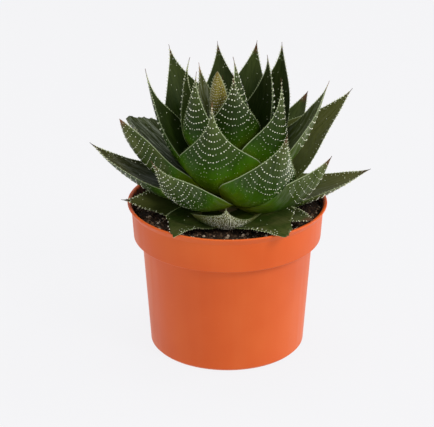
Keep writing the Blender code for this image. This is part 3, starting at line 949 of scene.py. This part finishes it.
def keepLargest(mesh):
    # drops the scraps that a cut leaves loose
    work = bmesh.new()
    work.from_mesh(mesh)
    left, groups = set(work.verts), []
    while left:
        group = [left.pop()]
        for vertex in group:
            others = left.intersection(edge.other_vert(vertex) for edge in vertex.link_edges)
            left -= others
            group.extend(others)
        groups.append(group)
    scraps = [vertex for group in sorted(groups, key=len)[:-1] for vertex in group]
    bmesh.ops.delete(work, geom=scraps, context="VERTS")
    work.to_mesh(mesh)
    work.free()


def cutBlade(blade, cutters):
    tree = meshTree(blade.data)
    near = [cutter for cutter, cutterTree in cutters if tree.overlap(cutterTree)]
    whole = volumeOf(blade.data)
    for solver in ("MANIFOLD", "EXACT"):
        for cutter in near:
            modifier = blade.modifiers.new("against a neighbour", "BOOLEAN")
            modifier.operation = "DIFFERENCE"
            modifier.solver = solver
            modifier.object = cutter
        mesh = evaluatedMesh(blade)
        blade.modifiers.clear()
        if volumeOf(mesh) > 0.1 * whole:
            swapMesh(blade, mesh)
            keepLargest(mesh)
            return
        bpy.data.meshes.remove(mesh)
    print("left uncut:", blade.name)


def storeVector(mesh, name, *parts):
    # three values for each vertex, of which some may be one number for all
    layer = mesh.attributes.new(name, "FLOAT_VECTOR", "POINT")
    layer.data.foreach_set("vector", np.stack(np.broadcast_arrays(*parts), axis=1).ravel())


def markBlade(mesh, shape, start, along, u, back):
    # tells the skin's material where each vertex lies on the leaf
    tree = KDTree(len(start))
    for index, row in enumerate(start):
        tree.insert(row, index)
    tree.balance()
    nearest = np.array([tree.find(vertex.co)[1] for vertex in mesh.vertices])
    along, u, back = along[nearest], u[nearest], back[nearest]
    look, half = shape.look, halfWidthOf(shape, along)
    distance = np.interp(along, shape.steps, shape.lengths)
    silver = np.full_like(u, look["silver"])
    if look["patch"]:
        patchAlong, patchAcross, reachAlong, reachAcross = look["patch"]
        # the patch adds silver: worn skin and a painted sheen streak
        wearAndSheen = ((along - patchAlong) / reachAlong) ** 2 + ((u - patchAcross) / reachAcross) ** 2
        silver = silver + leaf["patch"] * np.exp(-wearAndSheen) * (back > 0.3)
    fromTip = shape.length - distance + look["point"]
    storeVector(mesh, "leafPlace", u * half, distance, back)
    storeVector(mesh, "leafMix", along, (1 - np.abs(u)) * half, look["bronze"])
    storeVector(mesh, "leafMore", fromTip, look["dry"], look["tip"])
    storeVector(mesh, "leafTone", look["shade"], silver, look["light"])


# Spots and teeth: pale tubercles in curved rows on the backs, small leaning teeth on the margins

spot = {
    "rowStep": 3.8 * mm,
    "dotStep": 1.8 * mm,
    "firstRow": 3.2 * mm,  # from the tip
    "rowFill": 2.15,
    "rowReach": 0.95,  # of the half-width
    "bow": 0.28,  # how far the ends of a row reach toward the tip, times the half-width
    "looseFrom": 0.42,  # from here toward the base, in shares of the length, the rows break up
    "looseOver": 0.3,
    "missing": 0.07,  # share of the spots left out, and how much more where rows break up
    "missingLoose": 0.25,
    "sizes": (0.68, 1.14),  # times the width
    "width": 0.84 * mm,
    "height": 0.62,  # of the width
    "sides": 7,
    "bands": 4,
    "strayStep": 9 * mm,  # one stray spot on the inner face for each such length
    "straySizes": (0.45, 0.8),
    "toothStep": 1.75 * mm,
    "toothFrom": 3.5 * mm,
    "toothSizes": (0.7, 1.15),
    "toothLength": 1.0 * mm,
    "toothWidth": 0.7 * mm,
    "toothSides": 6,
    "toothReach": 0.86,
    "rimStep": 2.9 * mm,  # beads on the inner face, a little inside the margins
    "rimSizes": (0.6, 0.95),
    "rimFrom": 5 * mm,
    "rimPlace": 0.84,
    "rimReach": 0.8,
    "snap": 0.25 * mm,  # a spot farther than this from the cut blade is left out
    "lowSnap": 0.9 * mm,
    "colour": (232, 235, 212),
    "baseColour": (92, 122, 30),
    "toothColour": (206, 210, 172),
}


def spotTree():
    tree, given, out = newShapeTree("spots and teeth", {
        "places": "Object",
        "spotSides": spot["sides"],
        "spotBands": spot["bands"],
        "spotHeight": spot["height"],
        "toothSides": spot["toothSides"],
        "toothWidth": spot["toothWidth"] / spot["toothLength"],
        "spotSkin": "Material",
        "toothSkin": "Material",
    })
    places = put(tree, "GeometryNodeObjectInfo", {0: given.places}, "Geometry")
    points = put(tree, "GeometryNodeMeshToPoints", {0: places})
    aim = {"Vector": storedOf(tree, "aim", "FLOAT_VECTOR")}
    turn = put(tree, "FunctionNodeAlignRotationToVector", aim, axis="Z")
    size, isTooth = storedOf(tree, "size", "FLOAT"), storedOf(tree, "tooth", "BOOLEAN")
    ball = {"Segments": given.spotSides, "Rings": given.spotBands, "Radius": 0.5}
    ball = put(tree, "GeometryNodeMeshUVSphere", ball)
    tall = put(tree, "ShaderNodeCombineXYZ", {0: 1.0, 1: 1.0, 2: given.spotHeight * 2.0})
    ball = put(tree, "GeometryNodeTransform", {0: ball, "Scale": tall})
    fang = put(tree, "GeometryNodeMeshCone", {
        "Vertices": given.toothSides,
        "Radius Top": 0.04,
        "Radius Bottom": given.toothWidth * 0.5,
        "Depth": 1.25,
    })
    fang = put(tree, "GeometryNodeTransform", {0: fang, "Translation": (0.0, 0.0, -0.25)})
    found = []
    for form, chosen, material in (
        (fang, isTooth, given.toothSkin), (ball, 1.0 - isTooth, given.spotSkin),
    ):
        wires = {"Points": points, "Selection": chosen, "Instance": form}
        wires |= {"Rotation": turn, "Scale": size}
        found.append(dressed(put(tree, "GeometryNodeInstanceOnPoints", wires), material))
    wireUp(out, {0: joined(*found, given.geometry)})
    return tree


def alongAt(shape, fromTip):
    return np.interp(shape.length - fromTip, shape.lengths, shape.steps)


def spotRows(shape):
    # rows of spots on the back, closer and clearer toward the tip, then strays, beads and teeth:
    # each has its place from the tip, across, back, size, tint and whether it is a tooth
    look, draw, length = shape.look, shape.draw, shape.length
    found = []
    fromTip = spot["firstRow"]
    while fromTip < length * look["spots"]:
        half = float(halfWidthOf(shape, np.array([alongAt(shape, fromTip)]))[0])
        count = max(1, round(spot["rowFill"] * half * look["dense"] ** 0.5 / spot["dotStep"]))
        loose = min(max((fromTip / length - spot["looseFrom"]) / spot["looseOver"], 0), 1)
        for k in range(count):
            share = (k + 0.5 + draw.uniform(-0.18, 0.18)) / count
            u = share * (2 * spot["rowReach"]) - spot["rowReach"]
            slip = draw.gauss(0, (0.14 + 0.9 * loose) * mm)
            size = spot["width"] * look["dots"] * draw.uniform(*spot["sizes"])
            size *= 1 - 0.5 * loose
            size *= min(1, 0.55 + fromTip / (16 * mm))
            missing = draw.random() < spot["missing"] + spot["missingLoose"] * loose
            place = fromTip - spot["bow"] * half * u * u + slip
            if place > 1.5 * mm and not missing:
                found.append((place, u, 1, size, loose, 0))
        step = spot["rowStep"] / look["dense"] * min(1, 0.66 + 0.34 * fromTip / (18 * mm))
        fromTip += step * draw.uniform(0.9, 1.1) * (1 - 0.35 * loose)
    for _ in range(round(length / spot["strayStep"])):
        place, u = draw.uniform(0.06, 0.6) * length, draw.uniform(-0.8, 0.8)
        found.append((place, u, 0, spot["width"] * draw.uniform(*spot["straySizes"]), 0.3, 0))
    for end in (-1, 1):
        place = spot["rimFrom"]
        while look["beads"] and place < length * spot["rimReach"]:
            size = spot["width"] * look["beads"] * draw.uniform(*spot["rimSizes"])
            size *= 1 - 0.5 * place / length
            u = end * spot["rimPlace"] * draw.uniform(0.97, 1.03)
            found.append((place, u, 0, size, 0.4 * place / length, 0))
            place += spot["rimStep"] * draw.uniform(0.75, 1.3)
        place = spot["toothFrom"]
        while place < length * spot["toothReach"]:
            share = place / length
            size = spot["toothLength"] * draw.uniform(*spot["toothSizes"])
            size *= min(1, 0.5 + place / (14 * mm))
            found.append((place, end, 0, size * (1.05 - 0.65 * share), share, 1))
            place += spot["toothStep"] * draw.uniform(0.8, 1.25)
    return np.array(found, float)


def makeSpotPlaces(shape, blade):
    fromTip, u, back, size, tint, tooth = spotRows(shape).T
    along = alongAt(shape, fromTip)
    _, side, inward, ahead = spineOf(shape, along)
    tree = meshTree(blade)
    snap = spot["lowSnap"] if shape.low else spot["snap"]
    chosen, places, aims = [], [], []
    for index, point in enumerate(bladePoints(shape, along, u, back)):
        place, normal, _, _ = tree.find_nearest(Vector(point), snap)
        if place is None:
            continue
        aim = np.array(normal) + ahead[index] * 0.25
        if tooth[index]:
            aim = side[index] * u[index] + ahead[index] * 0.85 - inward[index] * 0.15
        chosen.append(index)
        places.append(place[:])
        aims.append(unit(aim))
    mesh = bpy.data.meshes.new("spot places")
    mesh.from_pydata(places, [], [])
    storeVector(mesh, "aim", *np.array(aims).T)
    for name, kind, values in (
        ("size", "FLOAT", size), ("tint", "FLOAT", tint), ("tooth", "BOOLEAN", tooth > 0),
    ):
        mesh.attributes.new(name, kind, "POINT").data.foreach_set("value", values[chosen])
    return linkObject("spot places", mesh)


def spotMaterial(name, colour):
    material, tree = newMaterial(name)
    mottle = noiseOf(objectPlace(tree), 900, 2.0)
    tint = grade(attributeOf(tree, "tint"), 0.0, 0.7)
    fade = calc("ADD", tint, (mottle - 0.5) * 0.4, clamp=True)
    return finished(material, {
        "Base Color": mixColour(fade, colour, spot["baseColour"]),
        "Roughness": 0.38,
        "Specular IOR Level": 0.3,
        "Subsurface Weight": 0.15,
        "Subsurface Radius": (0.8, 1.0, 0.5),
        "Subsurface Scale": 0.6 * mm,
    })


skin = {
    "back": (  # from the root to the point; the stops near the root are painted lighter than the leaf's own green, painted light against the shade at the base
        (0.12, (150, 152, 20)), (0.3, (104, 134, 6)), (0.42, (58, 100, 0)), (0.52, (36, 66, 3)),
        (0.68, (46, 64, 20)), (0.84, (74, 88, 44)), (0.97, (74, 78, 42)),
    ),
    "inner": ((0.15, (66, 90, 8)), (0.4, (40, 60, 8)), (0.65, (38, 55, 17)), (0.9, (58, 72, 28))),
    # painted sheen on the inner faces, in broad patches
    "innerPaintedSheen": (68, 78, 48),
    "deep": (26, 44, 10),
    "grey": (74, 88, 44),
    "bronze": (66, 54, 30),
    # silvery scuffs, together with a painted sheen
    "silver": (150, 158, 140),
    "pale": (112, 118, 62),
    # painted shade, for the leaves deep in the rosette
    "paintedHeartShade": (16, 22, 8),
    "darkTip": (36, 22, 14),
    "pinkTip": (150, 106, 78),
    "margin": (176, 190, 150),
    "dry": (150, 138, 84),
    "bud": (134, 124, 54),
    "freckle": (66, 58, 22),
    "roughness": 0.32,  # at the least
}


def skinMaterial(name, young=False):
    material, tree = newMaterial(name)
    place = attributeOf(tree, "leafPlace", "Vector")
    world = objectPlace(tree)
    back = partsOf(place)[2]
    along, fromEdge, bronze = partsOf(attributeOf(tree, "leafMix", "Vector"))
    fromTip, dry, tipTone = partsOf(attributeOf(tree, "leafMore", "Vector"))
    shade, silver, light = partsOf(attributeOf(tree, "leafTone", "Vector"))
    streaks = noiseOf(stretched(place, (1100, 70, 30)), 1.0, 4.0, 0.6)
    scuffsAndSheen = noiseOf(stretched(place, (520, 60, 40)), 1.0, 4.0, 0.65)
    broad = noiseOf(stretched(place, (130, 55, 40)), 1.0, 3.0, 0.55)
    patches = noiseOf(world, 95, 3.0, 0.6)
    fine = noiseOf(world, 2600, 3.0, 0.6)
    run = along + (broad - 0.5) * 0.28

    # the inner face, and the keeled back: vivid at the base, with painted light there against the shade
    # among the roots, deep green, then grey-green
    # painted sheen in broad patches over the inner face
    inner = mixColour(grade(patches, 0.48, 0.72) * 0.3, ramp(run, skin["inner"]), skin["innerPaintedSheen"])
    # darker along the low lines of the streaks, the furrows of the bump: painted shade in the furrows
    inner = mixColour(grade(streaks, 0.54, 0.38) * 0.45, inner, skin["deep"])
    body = mixColour(grade(back, 0.35, 0.65), inner, ramp(run, skin["back"]))
    body = mixColour(grade(broad, 0.5, 0.3) * 0.5, body, skin["deep"])
    bronzed = bronze * grade(run + patches * 0.3, 0.5, 0.95)
    body = mixColour(bronzed * (1.0 - back * 0.75), body, skin["bronze"])
    if young:
        freckles = grade(noiseOf(world, 1500, 2.0), 0.5, 0.66)
        bud = mixColour(freckles * 0.7, skin["bud"], skin["freckle"])
        body = mixColour(grade(run, 0.45, 0.75), body, bud)
    body = mixColour(grade(streaks, 0.42, 0.7) * 0.17, body, skin["grey"])
    body = mixColour(dry * grade(patches, 0.35, 0.65), body, skin["dry"])

    # silvery scuffs with a painted sheen, a paler tone, and painted shade in the rosette's heart
    body = mixColour(grade(scuffsAndSheen, 0.44, 0.66) * (silver * 0.75), body, skin["silver"])
    body = mixColour(light, body, skin["pale"])
    body = mixColour(shade * 0.8, body, skin["paintedHeartShade"])

    # the pale line along the margins, and the dark or pinkish point
    edge = grade(fromEdge, 0.36 * mm, 0.14 * mm) * grade(streaks, 0.2, 0.6, 0.35, 0.85)
    body = mixColour(edge, body, skin["margin"])
    point = mixColour(tipTone, skin["darkTip"], skin["pinkTip"])
    body = mixColour(grade(fromTip + (broad - 0.5) * (6 * mm), 8.5 * mm, 3.0 * mm), body, point)
    grain = bumpOf(fine, 0.18, 0.12 * mm)
    return finished(material, {
        "Base Color": body,
        "Roughness": patches * 0.22 + skin["roughness"],
        "Specular IOR Level": 0.10,
        "Normal": bumpOf(streaks, 0.28, 0.30 * mm, grain),
    })


def makeLeaves():
    skins = {"leaf": skinMaterial("aloe leaf")}
    skins["young_leaf"] = skinMaterial("young aloe leaf", young=True)
    spotSkin = spotMaterial("pale tubercles", spot["colour"])
    toothSkin = spotMaterial("marginal teeth", spot["toothColour"])
    tree = spotTree()
    cutters = []
    for number, row in enumerate(leafRows):
        shape = readLeaf(row, number)
        name = row[0].replace("leaf", "blade")
        mesh, along, u, back = bladeMesh(name, shape, leaf["rings"], leaf["facePoints"])
        start = [vertex.co.copy() for vertex in mesh.vertices]
        blade = linkObject(name, mesh)
        cutBlade(blade, cutters)
        markBlade(blade.data, shape, start, along, u, back)
        slot = "young_leaf" if number == 0 else "leaf"
        blade.data.materials.clear()
        blade.data.materials.append(skins[slot])
        blade.data.shade_smooth()
        blade.data.set_sharp_from_angle(angle=math.radians(38))
        places = makeSpotPlaces(shape, blade.data)
        runShapeTree(blade, tree, {"places": places, "spotSkin": spotSkin, "toothSkin": toothSkin})
        dropObject(places)
        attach(blade, "root")
        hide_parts(row[0])
        cutter = makeCutter(shape)
        cutters.append((cutter, meshTree(cutter.data)))
    for cutter, _ in cutters:
        dropObject(cutter)


makeLeaves()
print("stage: leaves")
